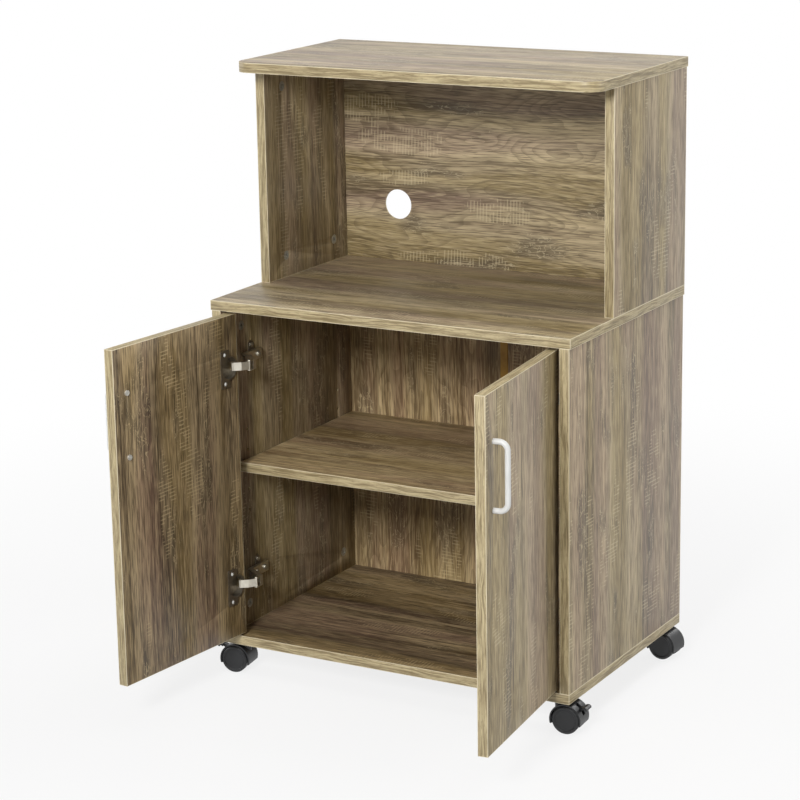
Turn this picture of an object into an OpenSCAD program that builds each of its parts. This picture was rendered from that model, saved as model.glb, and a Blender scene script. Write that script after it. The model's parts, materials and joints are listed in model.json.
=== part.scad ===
// Microwave cart: a two-door cupboard on four casters, with an open bay on its worktop
// and a shallow top board above. X runs across the front, Y from front to back, Z up.
// The origin lies on the floor, under the middle of the footprint with the doors open.

/* [Boards] */
// Width across the worktop
overall_w = 600; // [520:5:720]
// Depth of the base, the sides and the worktop
overall_d = 400; // [350:5:460]
// Thickness of every laminated board
board_t = 15; // [14:0.5:18]
// Height of the lower side panels
cupboard_h = 514; // [440:1:640]
// Distance of the lower side panels in from the ends of the worktop
side_setback = 2; // [0:0.5:6]
// Height of the upper side panels
bay_h = 333; // [260:1:420]
// Depth of the upper side panels
bay_d = 256; // [200:1:300]
// Reach of the top board in front of the upper side panels
top_front_reach = 61; // [35:1:80]
// Reach of the top board past each upper side panel
top_side_reach = 2; // [0:0.5:6]
// Radius of the two front corners of the top board
top_corner_r = 28; // [5:1:50]

/* [Back panels] */
// Thickness of the back panels
back_t = 3; // [2.5:0.5:4]
// Distance from the rear edges to the back panels
back_inset = 15; // [10:1:25]
// Depth of the grooves that hold the back panels
groove_depth = 5; // [3:0.5:6]
// Play of a back panel in its groove, on each side
groove_play = 0.3; // [0.1:0.1:0.5]
// Width of the strip that joins the two lower back panels
joiner_w = 13; // [9:0.5:20]
// Thickness of the walls of that strip
joiner_t = 1.2; // [0.8:0.1:2]
// Diameter of the cable hole
cable_hole_d = 48; // [30:1:70]
// Distance of the cable hole from the left upper side panel
cable_hole_side = 96; // [60:1:200]
// Height of the cable hole above the worktop
cable_hole_h = 91; // [50:1:200]

/* [Shelf] */
// Distance of the shelf behind the front edges of the sides
shelf_setback = 39; // [20:1:100]
// Gap between the shelf and the boards at its ends and its back
shelf_gap = 1; // [0.5:0.5:3]
// Height of the shelf pins above the base board
pin_h = 250; // [160:1:330]
// Diameter of a shelf pin and its hole
pin_d = 5; // [4:0.5:6]
// Depth of a pin hole
pin_hole_depth = 9; // [7:0.5:11]
// Spacing of the pin holes in a row
pin_pitch = 32; // [20:1:40]
// Distance of the pin rows from the front and rear edges
pin_row_inset = 64; // [40:1:90]
// Free height between the shelf pins and the shelf
rest_gap = 0.3; // [0.1:0.1:0.5]

/* [Doors] */
// Gap between a door and the side panel
door_side_gap = 2; // [1.5:0.1:4]
// Gap between the two closed doors
door_mid_gap = 3; // [2:0.5:6]
// Gap above and below a door
door_end_gap = 3.5; // [2:0.5:6]
// Angle at which the doors stand open
open_angle = 95.9; // [80:0.1:110]
// Distance of the hinges from the ends of a door
hinge_inset = 81; // [60:1:140]

/* [Handles] */
// Distance between the two legs of a handle
handle_pitch = 96; // [64:1:160]
// Diameter of the handle's bar
handle_d = 8; // [6:0.5:12]
// Reach of the bar's middle line from the door
handle_reach = 21; // [18:0.5:35]
// Radius of the bends, at the bar's middle line
handle_bend = 12; // [8:0.5:16]
// Distance of the handle from the free edge of the door
handle_edge = 27; // [18:1:60]
// Distance from the top of the door to the middle of the handle
handle_drop = 116; // [80:1:260]
// Diameter of the handle screws
handle_screw_d = 4; // [3:0.5:5]

/* [Concealed hinges] */
// Diameter of the hinge cup
cup_d = 35; // [26:0.5:35]
// Depth of the hinge cup
cup_depth = 11.5; // [11:0.1:12]
// Distance from the door's edge to the middle of the cup
cup_edge = 20.5; // [20:0.1:22.5]
// Thickness of the steel of cup, flange and links
hinge_steel = 1.2; // [1:0.1:1.5]
// Height of the hinge arm and its links
arm_h = 12.5; // [10:0.5:14]
// Distance of the mounting screws behind the front edge of the side panel
plate_setback = 80; // [76:1:100]
// Length of the hinge's flange, along the door's edge
wing_l = 58; // [58:1:70]
// Distance between the two screws of a cup
cup_screw_pitch = 45; // [44:1:50]

/* [Fittings] */
// Diameter of a cam lock
cam_d = 15; // [12:0.5:18]
// Distance of a cam lock from the end of its panel
cam_end = 34; // [24:1:40]
// Distance of the lower cam locks from the front and rear edges
cam_inset = 56; // [50:1:70]
// Distance of the upper front cam locks from the front edges
bay_cam_front = 51; // [40:1:70]
// Distance of the upper rear cam locks from the rear edges
bay_cam_rear = 60; // [50:1:80]
// Distance of a dowel from the cam lock beside it, in the cupboard
dowel_step = 40; // [36:1:48]
// Distance of a dowel from the cam lock beside it, in the bay
bay_dowel_step = 32; // [28:1:36]
// Diameter of a dowel
dowel_d = 8; // [6:0.5:8]

/* [Casters] */
// Height of the casters, from the floor to the base board
caster_h = 50; // [49:0.5:64]
// Diameter of a caster wheel
wheel_d = 42; // [36:0.5:44]
// Width of one of the twin wheels
wheel_w = 11; // [8:0.5:14]
// Distance from the swivel axis to the wheel axle
trail = 14; // [12:0.5:16]
// Distance of the swivel axis from the end of the base board
caster_side = 26; // [24:1:60]
// Distance of the swivel axis from the front or rear edge
caster_front = 25; // [24:1:60]
// Thickness of the web between the twin wheels
web_t = 14; // [13:0.5:18]
// Thickness of the hood over the wheels
hood_t = 2.2; // [1.5:0.1:3]

/* [Hidden] */
$fn = 64;
EPS = 0.01;
blind_gap = 1;                                         // free depth at the foot of a blind bore
LEFT = -1;
RIGHT = 1;

// Boards
inner_half = overall_w / 2 - side_setback - board_t;   // lower side panel to the middle
base_half = overall_w / 2 - side_setback;
bay_inner_half = overall_w / 2 - board_t;
top_half = overall_w / 2 + top_side_reach;
z_base = caster_h;
z_floor = z_base + board_t;                            // upper face of the base board
z_under = z_floor + cupboard_h;                        // underside of the worktop
z_work = z_under + board_t;
z_bay_top = z_work + bay_h;
z_top = z_bay_top + board_t;

// Doors, in plan: u from the side panel's inner face, w back from the front edge
door_w = inner_half - door_side_gap - door_mid_gap / 2;
door_h = cupboard_h - 2 * door_end_gap;
z_door = z_floor + door_end_gap;
pivot_in = 7.2;                                        // turning point, in from the door's edge
pivot_u = door_side_gap + pivot_in;
pivot_w = 3.2;
half_open = open_angle / 2;

// The footprint with the doors open, which sets where the origin lies
door_reach = (door_w + door_side_gap - pivot_u) * sin(open_angle)
    - (board_t - pivot_w) * cos(open_angle) - pivot_w;
y_front = (door_reach - overall_d) / 2;
y_back = y_front + overall_d;
y_bay = y_back - bay_d;
y_top = y_bay - top_front_reach;
y_panel = y_back - back_inset - back_t;                // front face of the back panels

// Back panels
groove_w = back_t + 2 * groove_play;
panel_tuck = groove_depth - 2 * groove_play;           // how far a panel enters its groove

// Shelf
z_pin = z_floor + pin_h;
z_shelf = z_pin + pin_d / 2 + rest_gap;
pin_rows = [y_front + pin_row_inset, y_back - pin_row_inset];
PIN_STEPS = [-2, -1, 0, 1, 2];
spoon_side = 1.5;                                      // reach of the spoon past each side of its pin
spoon_w = pin_d + 2 * spoon_side;
spoon_l = 9;
spoon_t = 1.6;
spoon_drop = 5;
pin_play = 0.1;

// Cam locks, bolts and dowels
bore_play = 0.1;
cam_depth = 12.5;
cam_h = 12;
bolt_d = 6;
bolt_bore_d = 8;
bolt_bite = 11;
bolt_neck_d = 4;
bolt_neck_l = 6;
bolt_head_d = 7;
bolt_head_t = 5;
bolt_head_past = 2;                                    // reach of the head past the middle of its cam
head_play = 0.5;
cross_l = 9;
cross_w = 1.8;
cross_deep = 2;
dowel_l = 30;
dowel_bite = 11;
low_cams = [y_front + cam_inset, y_back - cam_inset];
low_dowels = [low_cams[0] + dowel_step, low_cams[1] - dowel_step];
bay_cams = [y_bay + bay_cam_front, y_back - bay_cam_rear];
bay_dowels = [bay_cams[0] + bay_dowel_step, bay_cams[1] - bay_dowel_step];

// Concealed hinges, in plan, with the door shut
cup_u = door_side_gap + cup_edge;
link_end_in = 8.8;                                     // the links' end, in from the door's edge
link_end_deep = 2.5;                                   // and under its inner face
link_end_u = door_side_gap + link_end_in;
link_end_w = board_t - link_end_deep;
arm_pin_out = 5;
arm_pin_w = board_t + arm_pin_out;
end_angle = atan2(link_end_w - pivot_w, link_end_u - pivot_u);
// The arm's pin is as far from the links' end with the door open as with it shut
pin_angle = end_angle - half_open;
pin_reach = (arm_pin_w - pivot_w) / sin(pin_angle);
arm_pin_u = pivot_u + pin_reach * cos(pin_angle);
link_l = norm([arm_pin_u - link_end_u, arm_pin_w - link_end_w]);
link_shut = atan2(link_end_w - arm_pin_w, link_end_u - arm_pin_u);
link_open = 2 * (pin_angle + 180) - link_shut;
hinge_pin_d = 3;
link_play = 0.05;
arm_knuckle_r = 2.8;
cup_knuckle_r = 2;
link_t = 1.8;
link_root_t = 2.6;
link_tip_t = 1.6;
rim_w = 1.5;
flange_r = cup_d / 2 + rim_w;
wing_near = 1.5;                                       // flange towards the door's edge, from the cup's middle
wing_far = 19.5;                                       // and away from it
wing_corner = 2.5;
cup_screw_step = 9.5;                                  // screws away from the edge, from the cup's middle
screw_bite = 9;
screw_play = 0.1;
screw_hole_play = 0.3;
cup_screw_d = 3.5;
cup_head_t = 1.8;
slot_w = 0.8;                                          // cross in the head of a screw
slot_deep = 1;
notch_gap = 0.5;
notch_h = arm_h + 2 * notch_gap;
plate_l = 46;
plate_h = 44;
plate_wing_w = 14;
plate_body_t = 5;
plate_t = 2;
plate_screw_pitch = 32;
plate_screw_d = 3.5;
plate_head_t = 1.6;
arm_t = 1.3;
arm_gap = 0.3;
hinge_heights = [z_door + hinge_inset, z_door + door_h - hinge_inset];
link_bow = 2.3;
ear_t = 1.5;
ear_r = 3.4;
arm_short = 4;                                         // seat left bare behind the arm
arm_back_w = plate_setback + plate_l / 2 - arm_short;
crank_in = [9, 30];                                    // start and end of the crank, behind the pin, inside
crank_out = [14, 34];                                  // and on the crown
arm_low_u = plate_t + arm_gap;
arm_crown_u = plate_t + plate_body_t + arm_t;
arm_high_u = arm_pin_u + ear_r;
channel_h = arm_h + 2 * arm_gap;
hinge_pin_head = 0.5;
hinge_pin_l = channel_h + 2 * (ear_t + hinge_pin_head);
// Two screws through the crown of each arm: one clamps it on its plate, one sets its height
clamp_step = 10;
clamp_d = 5;
clamp_head_d = 8.5;
clamp_head_t = 2.2;
clamp_bite = 4;
set_step = 12;
set_d = 5;
set_proud = 0.8;

// Handles
handle_u = door_side_gap + door_w - handle_edge;
z_handle = z_door + door_h - handle_drop;
handle_zs = [z_handle - handle_pitch / 2, z_handle + handle_pitch / 2];
handle_bite = 10;
handle_screw_play = 0.5;
screw_head_t = 2.2;

// Casters: u along the trail, from the swivel axis towards the axle
axle_z = wheel_d / 2;
axle_d = 6;
axle_play = 0.08;
stem_d = 8;
stem_play = 0.05;
stem_in_hood = 17;
stem_in_base = 11;
hood_shift = 0.5;
hood_gap = 0.8;
hood_r = wheel_d / 2 + hood_shift + hood_gap + hood_t;
hood_top = axle_z + hood_r;
hood_low = 7;                                          // reach of the hood below the axle
hood_side_in = 1;                                      // sides of the hood, in from the wheels' faces
neck_d = 16;
neck_h = 2;
neck_clear = 0.8;
collar_gap = 0.3;
stem_hex = 13;
hex_h = caster_h - hood_top - neck_h - collar_gap;
wheel_side_gap = 0.5;
wheel_out = web_t / 2 + wheel_side_gap + wheel_w;
wheel_rim = 2.5;
wheel_dish = 1.2;
wheel_lip = 4;                                         // width of the raised ring on a wheel's face
wheel_round = 1.6;
wheel_bevel = 0.8;
wheel_face_t = 2;
axle_end_gap = 0.3;
axle_half = wheel_out - wheel_dish - wheel_face_t - axle_end_gap;
insert_d = 12;
insert_l = 12;
insert_gap = 0.5;
lever_pin_u = trail + 15;
lever_pin_z = axle_z + 13;
lever_pin_d = 3;
lever_w = 8;
lever_play = 0.3;
lever_r = 3.6;
lever_tip_u = trail + 31;
lever_tip_z = axle_z + 20;
lever_pad_w = 18;
lever_slot = 1;                                        // room round the lever's boss in the web
lever_drop = 3;                                        // and below it, for the travel
caster_x = base_half - caster_side;
// Place and heading of each caster: front left, front right, rear left, rear right
CASTERS = [
    [-caster_x, y_front + caster_front, 189],
    [caster_x, y_front + caster_front, 4],
    [-caster_x, y_back - caster_front, 160],
    [caster_x, y_back - caster_front, -4],
];
FL = 0;
FR = 1;
RL = 2;
RR = 3;

// Colours
OAK = "#8c7a62";
OAK_LIGHT = "#a3937a";
OAK_DARK = "#6d5c48";
STRIP = "#7d642c";
NICKEL = "#b9b6ae";
ZINC = "#9a9a96";
SATIN = "#e4e4e0";
BEECH = "#c9a676";
BLACK = "#26272a";
CHARCOAL = "#343538";

// ---------------------------------------------------------------- placing

// Turns a left-hand shape into the one for the given side
module on_side(side) {
    if (side == RIGHT)
        mirror([1, 0, 0]) children();
    else
        children();
}

// Plan corner of the left door opening, at height z
module at_opening(z = 0) {
    translate([-inner_half, y_front, z]) children();
}

// Swings a shut left door to the angle at which the doors stand
module swung() {
    translate([pivot_u, pivot_w, 0])
        rotate([0, 0, -open_angle])
            translate([-pivot_u, -pivot_w, 0])
                children();
}

// Swings the links from shut to open about the arm's pin
module linked() {
    translate([arm_pin_u, arm_pin_w, 0])
        rotate([0, 0, link_open])
            children();
}

// Stands a caster part at its place and heading
module at_caster(which) {
    translate([CASTERS[which][0], CASTERS[which][1], 0])
        rotate([0, 0, CASTERS[which][2]])
            children();
}

// A board from its lowest corner
module board(corner, size) {
    translate(corner) cube(size);
}

// A cylinder along X that starts at x = 0 and runs to +l
module rod_x(d, l) {
    rotate([0, 90, 0]) cylinder(d = d, h = l);
}

// A cylinder along Y that starts at y = 0 and runs to +l
module rod_y(d, l) {
    rotate([-90, 0, 0]) cylinder(d = d, h = l);
}

// The cross-shaped recess in the top of a screw that points along Y
module cross_recess(d, top) {
    for (turn = [0, 90])
        rotate([0, turn, 0])
            translate([-d / 2, top - slot_deep, -slot_w / 2])
                cube([d, slot_deep + EPS, slot_w]);
}

// ---------------------------------------------------------------- joints between boards

// Bores of one panel end for cams, bolts and dowels. x is the panel's middle, face the
// inner face that the cams lie in, z the panel's end and up the way into the panel.
module panel_end_bores(x, face, inward, z, up, cams, dowels) {
    for (y = cams) {
        translate([face, y, z + up * cam_end])
            mirror([inward > 0 ? 1 : 0, 0, 0])
                translate([-EPS, 0, 0]) rod_x(cam_d + 2 * bore_play, cam_depth + EPS);
        translate([x, y, z + (up > 0 ? -EPS : -cam_end)])
            cylinder(d = bolt_bore_d, h = cam_end + EPS);
    }
    for (y = dowels)
        translate([x, y, z + (up > 0 ? -EPS : dowel_bite - dowel_l - blind_gap)])
            cylinder(d = dowel_d + 2 * bore_play, h = dowel_l - dowel_bite + blind_gap + EPS);
}

// Bores in the face of the board that such a panel end stands on or carries
module board_face_bores(x, z, up, cams, dowels) {
    for (y = cams)
        translate([x, y, z + (up > 0 ? -bolt_bite - blind_gap : -EPS)])
            cylinder(d = bolt_d + 2 * bore_play, h = bolt_bite + blind_gap + EPS);
    for (y = dowels)
        translate([x, y, z + (up > 0 ? -dowel_bite - blind_gap : -EPS)])
            cylinder(d = dowel_d + 2 * bore_play, h = dowel_bite + blind_gap + EPS);
}

// A cam with its cross slot, in the panel's inner face
module cam(face, inward, y, z) {
    translate([face, y, z])
        mirror([inward > 0 ? 1 : 0, 0, 0])
            difference() {
                rod_x(cam_d, cam_h);
                for (turn = [45, 135])
                    rotate([turn, 0, 0])
                        translate([-EPS, -cross_l / 2, -cross_w / 2])
                            cube([cross_deep + EPS, cross_l, cross_w]);
                translate([board_t / 2, 0, -cam_d])
                    cylinder(d = bolt_head_d + 2 * head_play, h = 2 * cam_d);
            }
}

// A bolt that bites in a board's face at z and reaches up or down to its cam
module cam_bolt(x, y, z, up) {
    translate([x, y, z])
        mirror([0, 0, up > 0 ? 0 : 1])
            union() {
                translate([0, 0, -bolt_bite])
                    cylinder(d = bolt_d, h = bolt_bite + cam_end - bolt_neck_l);
                translate([0, 0, cam_end - bolt_neck_l - EPS])
                    cylinder(d = bolt_neck_d, h = bolt_neck_l);
                translate([0, 0, cam_end + bolt_head_past - bolt_head_t])
                    cylinder(d = bolt_head_d, h = bolt_head_t);
            }
}

// Everything at the four ends of the lower and of the upper side panels:
// [panel middle, inner face, direction of the inside, end height, direction, cams, dowels]
PANEL_ENDS = [
    for (side = [LEFT, RIGHT])
        for (end = [[z_floor, 1], [z_under, -1]])
            [side * (inner_half + board_t / 2), side * inner_half, -side,
                end[0], end[1], low_cams, low_dowels],
    for (side = [LEFT, RIGHT])
        for (end = [[z_work, 1], [z_bay_top, -1]])
            [side * (bay_inner_half + board_t / 2), side * bay_inner_half, -side,
                end[0], end[1], bay_cams, bay_dowels],
];

module cam_locks() {
    color(ZINC)
        for (e = PANEL_ENDS)
            for (y = e[5])
                cam(e[1], e[2], y, e[3] + e[4] * cam_end);
}

module cam_bolts() {
    color(ZINC)
        for (e = PANEL_ENDS)
            for (y = e[5])
                cam_bolt(e[0], y, e[3], e[4]);
}

module dowels() {
    color(BEECH)
        for (e = PANEL_ENDS)
            for (y = e[6])
                translate([e[0], y, e[3] + (e[4] > 0 ? -dowel_bite : dowel_bite - dowel_l)])
                    cylinder(d = dowel_d, h = dowel_l);
}

// ---------------------------------------------------------------- boards

module base_board() {
    color(OAK)
        difference() {
            board([-base_half, y_front, z_base], [2 * base_half, overall_d, board_t]);
            translate([-inner_half - groove_depth, y_panel - groove_play, z_floor - groove_depth])
                cube([2 * (inner_half + groove_depth), groove_w, groove_depth + EPS]);
            for (side = [LEFT, RIGHT])
                board_face_bores(side * (inner_half + board_t / 2), z_floor, 1, low_cams, low_dowels);
            for (c = CASTERS)
                translate([c[0], c[1], z_base - EPS])
                    cylinder(d = insert_d + 2 * bore_play, h = insert_l + EPS);
        }
}

// A lower side panel, drawn for the left: grooved, drilled for cams, hinges and pins
module lower_side(side) {
    color(OAK)
        on_side(side)
            difference() {
                board([-inner_half - board_t, y_front, z_floor], [board_t, overall_d, cupboard_h]);
                translate([-inner_half - groove_depth, y_panel - groove_play, z_floor - EPS])
                    cube([groove_depth + EPS, groove_w, cupboard_h + 2 * EPS]);
                for (end = [[z_floor, 1], [z_under, -1]])
                    panel_end_bores(-inner_half - board_t / 2, -inner_half, 1,
                        end[0], end[1], low_cams, low_dowels);
                for (y = pin_rows)
                    for (k = PIN_STEPS)
                        translate([-inner_half - pin_hole_depth, y, z_pin + k * pin_pitch])
                            rod_x(pin_d + 2 * pin_play, pin_hole_depth + EPS);
                for (z = hinge_heights)
                    for (s = [-1, 1])
                        translate([-inner_half - screw_bite - blind_gap, y_front + plate_setback,
                                z + s * plate_screw_pitch / 2])
                            rod_x(plate_screw_d, screw_bite + blind_gap + EPS);
            }
}

module left_side() {
    lower_side(LEFT);
}

module right_side() {
    lower_side(RIGHT);
}

module worktop() {
    color(OAK)
        difference() {
            board([-overall_w / 2, y_front, z_under], [overall_w, overall_d, board_t]);
            translate([-inner_half - groove_depth, y_panel - groove_play, z_under - EPS])
                cube([2 * (inner_half + groove_depth), groove_w, groove_depth + EPS]);
            translate([-bay_inner_half - groove_depth, y_panel - groove_play, z_work - groove_depth])
                cube([2 * (bay_inner_half + groove_depth), groove_w, groove_depth + EPS]);
            for (side = [LEFT, RIGHT]) {
                board_face_bores(side * (inner_half + board_t / 2), z_under, -1, low_cams, low_dowels);
                board_face_bores(side * (bay_inner_half + board_t / 2), z_work, 1, bay_cams, bay_dowels);
            }
        }
}

module shelf() {
    color(OAK_LIGHT)
        board([-inner_half + shelf_gap, y_front + shelf_setback, z_shelf],
            [2 * (inner_half - shelf_gap), y_panel - joiner_t - shelf_gap - y_front - shelf_setback, board_t]);
}

// A pin with a flat spoon under the shelf, a stop against the panel and a rib below
module shelf_pin() {
    union() {
        translate([-pin_hole_depth + blind_gap, 0, 0]) rod_x(pin_d, pin_hole_depth - blind_gap + EPS);
        translate([0, -spoon_w / 2, pin_d / 2 - spoon_t]) cube([spoon_l, spoon_w, spoon_t]);
        translate([0, -spoon_w / 2, -spoon_drop]) cube([spoon_t, spoon_w, spoon_drop + pin_d / 2]);
        translate([0, spoon_t / 2, 0])
            rotate([90, 0, 0])
                linear_extrude(spoon_t)
                    polygon([[0, -spoon_drop], [spoon_l - spoon_side, pin_d / 2 - spoon_t / 2],
                        [0, pin_d / 2 - spoon_t / 2]]);
    }
}

module shelf_pins() {
    color(NICKEL)
        for (side = [LEFT, RIGHT])
            for (y = pin_rows)
                on_side(side)
                    translate([-inner_half, y, z_pin])
                        shelf_pin();
}

// Half of the lower back, held in the grooves and by the joining strip
module lower_back(side) {
    color(OAK_DARK)
        on_side(side)
            board([-inner_half - panel_tuck, y_panel, z_floor - panel_tuck],
                [inner_half + panel_tuck - joiner_t / 2 - groove_play, back_t,
                    cupboard_h + 2 * panel_tuck]);
}

module back_left() {
    lower_back(LEFT);
}

module back_right() {
    lower_back(RIGHT);
}

// A strip with an H-shaped section between the two halves of the lower back
module back_joiner() {
    color(STRIP)
        translate([0, y_panel + back_t / 2, z_floor])
            linear_extrude(cupboard_h)
                union() {
                    square([joiner_t, back_t + 2 * joiner_t], center = true);
                    for (s = [-1, 1])
                        translate([0, s * (back_t + joiner_t) / 2])
                            square([joiner_w, joiner_t], center = true);
                }
}

// An upper side panel, drawn for the left
module upper_side(side) {
    color(OAK)
        on_side(side)
            difference() {
                board([-bay_inner_half - board_t, y_bay, z_work], [board_t, bay_d, bay_h]);
                translate([-bay_inner_half - groove_depth, y_panel - groove_play, z_work - EPS])
                    cube([groove_depth + EPS, groove_w, bay_h + 2 * EPS]);
                for (end = [[z_work, 1], [z_bay_top, -1]])
                    panel_end_bores(-bay_inner_half - board_t / 2, -bay_inner_half, 1,
                        end[0], end[1], bay_cams, bay_dowels);
            }
}

module bay_left_side() {
    upper_side(LEFT);
}

module bay_right_side() {
    upper_side(RIGHT);
}

module bay_back() {
    color(OAK_DARK)
        difference() {
            board([-bay_inner_half - panel_tuck, y_panel, z_work - panel_tuck],
                [2 * (bay_inner_half + panel_tuck), back_t, bay_h + 2 * panel_tuck]);
            translate([-bay_inner_half + cable_hole_side, y_panel - EPS, z_work + cable_hole_h])
                rod_y(cable_hole_d, back_t + 2 * EPS);
        }
}

// The top board reaches out in front, with two round corners
module top_board() {
    color(OAK)
        difference() {
            translate([0, 0, z_bay_top])
                linear_extrude(board_t)
                    union() {
                        translate([-top_half, y_top + top_corner_r])
                            square([2 * top_half, y_back - y_top - top_corner_r]);
                        translate([-top_half + top_corner_r, y_top])
                            square([2 * (top_half - top_corner_r), top_corner_r + EPS]);
                        for (side = [LEFT, RIGHT])
                            translate([side * (top_half - top_corner_r), y_top + top_corner_r])
                                circle(r = top_corner_r, $fn = 96);
                    }
            translate([-bay_inner_half - groove_depth, y_panel - groove_play, z_bay_top - EPS])
                cube([2 * (bay_inner_half + groove_depth), groove_w, groove_depth + EPS]);
            for (side = [LEFT, RIGHT])
                board_face_bores(side * (bay_inner_half + board_t / 2), z_bay_top, -1, bay_cams, bay_dowels);
        }
}

// ---------------------------------------------------------------- doors

// A door panel, drilled for two cups, their screws and the handle
module door_panel() {
    difference() {
        board([door_side_gap, 0, z_door], [door_w, board_t, door_h]);
        for (z = hinge_heights) {
            translate([cup_u, board_t - cup_depth - bore_play, z])
                rod_y(cup_d + 2 * bore_play, cup_depth + bore_play + EPS);
            for (s = [-1, 1])
                translate([cup_u + cup_screw_step, board_t - screw_bite - blind_gap,
                        z + s * cup_screw_pitch / 2])
                    rod_y(cup_screw_d, screw_bite + blind_gap + EPS);
        }
        for (z = handle_zs)
            translate([handle_u, -EPS, z])
                rod_y(handle_screw_d + 2 * handle_screw_play, board_t + 2 * EPS);
    }
}

module left_door() {
    color(OAK) at_opening() swung() door_panel();
}

module right_door() {
    color(OAK) on_side(RIGHT) at_opening() swung() door_panel();
}

// A bow handle: two legs, two round bends and a straight bar, with a bore in each leg
module bow_handle() {
    difference() {
        union() {
            for (s = [-1, 1]) {
                translate([handle_u, -handle_reach + handle_bend, z_handle + s * handle_pitch / 2])
                    rod_y(handle_d, handle_reach - handle_bend);
                translate([handle_u, -handle_reach + handle_bend,
                        z_handle + s * (handle_pitch / 2 - handle_bend)])
                    rotate([0, 90, 0])
                        rotate([0, 0, s > 0 ? 180 : -90])
                            rotate_extrude(angle = 90)
                                translate([handle_bend, 0]) circle(d = handle_d, $fn = 32);
            }
            translate([handle_u, -handle_reach, z_handle - handle_pitch / 2 + handle_bend])
                cylinder(d = handle_d, h = handle_pitch - 2 * handle_bend);
        }
        for (z = handle_zs)
            translate([handle_u, -handle_bite, z])
                rod_y(handle_screw_d + 2 * bore_play, handle_bite + EPS);
    }
}

// Two screws through the door into the legs of the handle
module handle_screws() {
    for (z = handle_zs)
        translate([handle_u, 0, z])
            difference() {
                union() {
                    translate([0, -handle_bite + blind_gap, 0])
                        rod_y(handle_screw_d, handle_bite - blind_gap + board_t + EPS);
                    translate([0, board_t, 0]) rod_y(2 * handle_screw_d, screw_head_t);
                }
                cross_recess(handle_screw_d, board_t + screw_head_t);
            }
}

module left_handle() {
    color(SATIN) at_opening() swung() bow_handle();
}

module right_handle() {
    color(SATIN) on_side(RIGHT) at_opening() swung() bow_handle();
}

module left_handle_screws() {
    color(ZINC) at_opening() swung() handle_screws();
}

module right_handle_screws() {
    color(ZINC) on_side(RIGHT) at_opening() swung() handle_screws();
}

// ---------------------------------------------------------------- concealed hinges

// The flange of a cup, flat on the door: a plate with round corners and the cup's rim. The
// plate reaches past the cup on the side away from the door's edge.
module cup_flange() {
    rotate([-90, 0, 0])
        linear_extrude(hinge_steel)
            union() {
                circle(r = flange_r);
                translate([-wing_near + wing_corner, -wing_l / 2])
                    square([wing_near + wing_far - 2 * wing_corner, wing_l]);
                translate([-wing_near, -wing_l / 2 + wing_corner])
                    square([wing_near + wing_far, wing_l - 2 * wing_corner]);
                for (u = [-wing_near + wing_corner, wing_far - wing_corner])
                    for (s = [-1, 1])
                        translate([u, s * (wing_l / 2 - wing_corner)]) circle(r = wing_corner);
            }
}

// A pressed cup with its flange, let into the inner face of the door. A notch in the rim on
// the side of the door's edge lets the links out.
module hinge_cup(z) {
    translate([cup_u, board_t, z])
        difference() {
            union() {
                translate([0, -cup_depth, 0]) rod_y(cup_d, cup_depth + EPS);
                cup_flange();
            }
            translate([0, -cup_depth + hinge_steel, 0])
                rod_y(cup_d - 2 * hinge_steel, cup_depth + hinge_steel);
            translate([-cup_d, -cup_depth + hinge_steel, -notch_h / 2])
                cube([cup_d, cup_depth + hinge_steel, notch_h]);
            for (s = [-1, 1])
                translate([cup_screw_step, -EPS, s * cup_screw_pitch / 2])
                    rod_y(cup_screw_d + 2 * screw_hole_play, hinge_steel + 2 * EPS);
        }
}

module cup_screws() {
    for (z = hinge_heights)
        for (s = [-1, 1])
            translate([cup_u + cup_screw_step, board_t, z + s * cup_screw_pitch / 2])
                difference() {
                    union() {
                        translate([0, -screw_bite, 0])
                            rod_y(cup_screw_d - 2 * screw_play, screw_bite + hinge_steel + EPS);
                        translate([0, hinge_steel, 0])
                            rotate([-90, 0, 0])
                                cylinder(d1 = 2 * cup_screw_d, d2 = cup_screw_d, h = cup_head_t);
                    }
                    cross_recess(cup_screw_d * 0.8, hinge_steel + cup_head_t);
                }
}

module left_hinge_cups() {
    color(NICKEL) at_opening() swung() for (z = hinge_heights) hinge_cup(z);
}

module right_hinge_cups() {
    color(NICKEL) on_side(RIGHT) at_opening() swung() for (z = hinge_heights) hinge_cup(z);
}

module left_cup_screws() {
    color(ZINC) at_opening() swung() cup_screws();
}

module right_cup_screws() {
    color(ZINC) on_side(RIGHT) at_opening() swung() cup_screws();
}

// The link between arm and cup: two knuckles and a bowed plate, along +X from the arm's pin
module hinge_link(z) {
    translate([0, 0, z - arm_h / 2])
        difference() {
            union() {
                cylinder(r = arm_knuckle_r, h = arm_h);
                translate([link_l, 0, 0]) cylinder(r = cup_knuckle_r, h = arm_h);
                linear_extrude(arm_h)
                    polygon([[0, link_root_t], [link_l / 2, link_bow + link_t], [link_l, link_tip_t],
                        [link_l, 0], [link_l / 2, link_bow], [0, 0]]);
            }
            translate([0, 0, -EPS]) cylinder(d = hinge_pin_d + 2 * link_play, h = arm_h + 2 * EPS);
        }
}

module left_hinge_links() {
    color(NICKEL) at_opening() linked() for (z = hinge_heights) hinge_link(z);
}

module right_hinge_links() {
    color(NICKEL) on_side(RIGHT) at_opening() linked() for (z = hinge_heights) hinge_link(z);
}

// Outline of the cranked arm: along the plate, then out and forward to the pin
module arm_outline() {
    polygon([
        [arm_low_u, arm_back_w], [arm_crown_u, arm_back_w],
        [arm_crown_u, arm_pin_w + crank_out[1]], [arm_high_u, arm_pin_w + crank_out[0]],
        [arm_high_u, arm_pin_w], [arm_pin_u - ear_r, arm_pin_w],
        [arm_pin_u - ear_r, arm_pin_w + crank_in[0]], [arm_low_u, arm_pin_w + crank_in[1]],
    ]);
    translate([arm_pin_u, arm_pin_w]) circle(r = ear_r);
}

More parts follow.
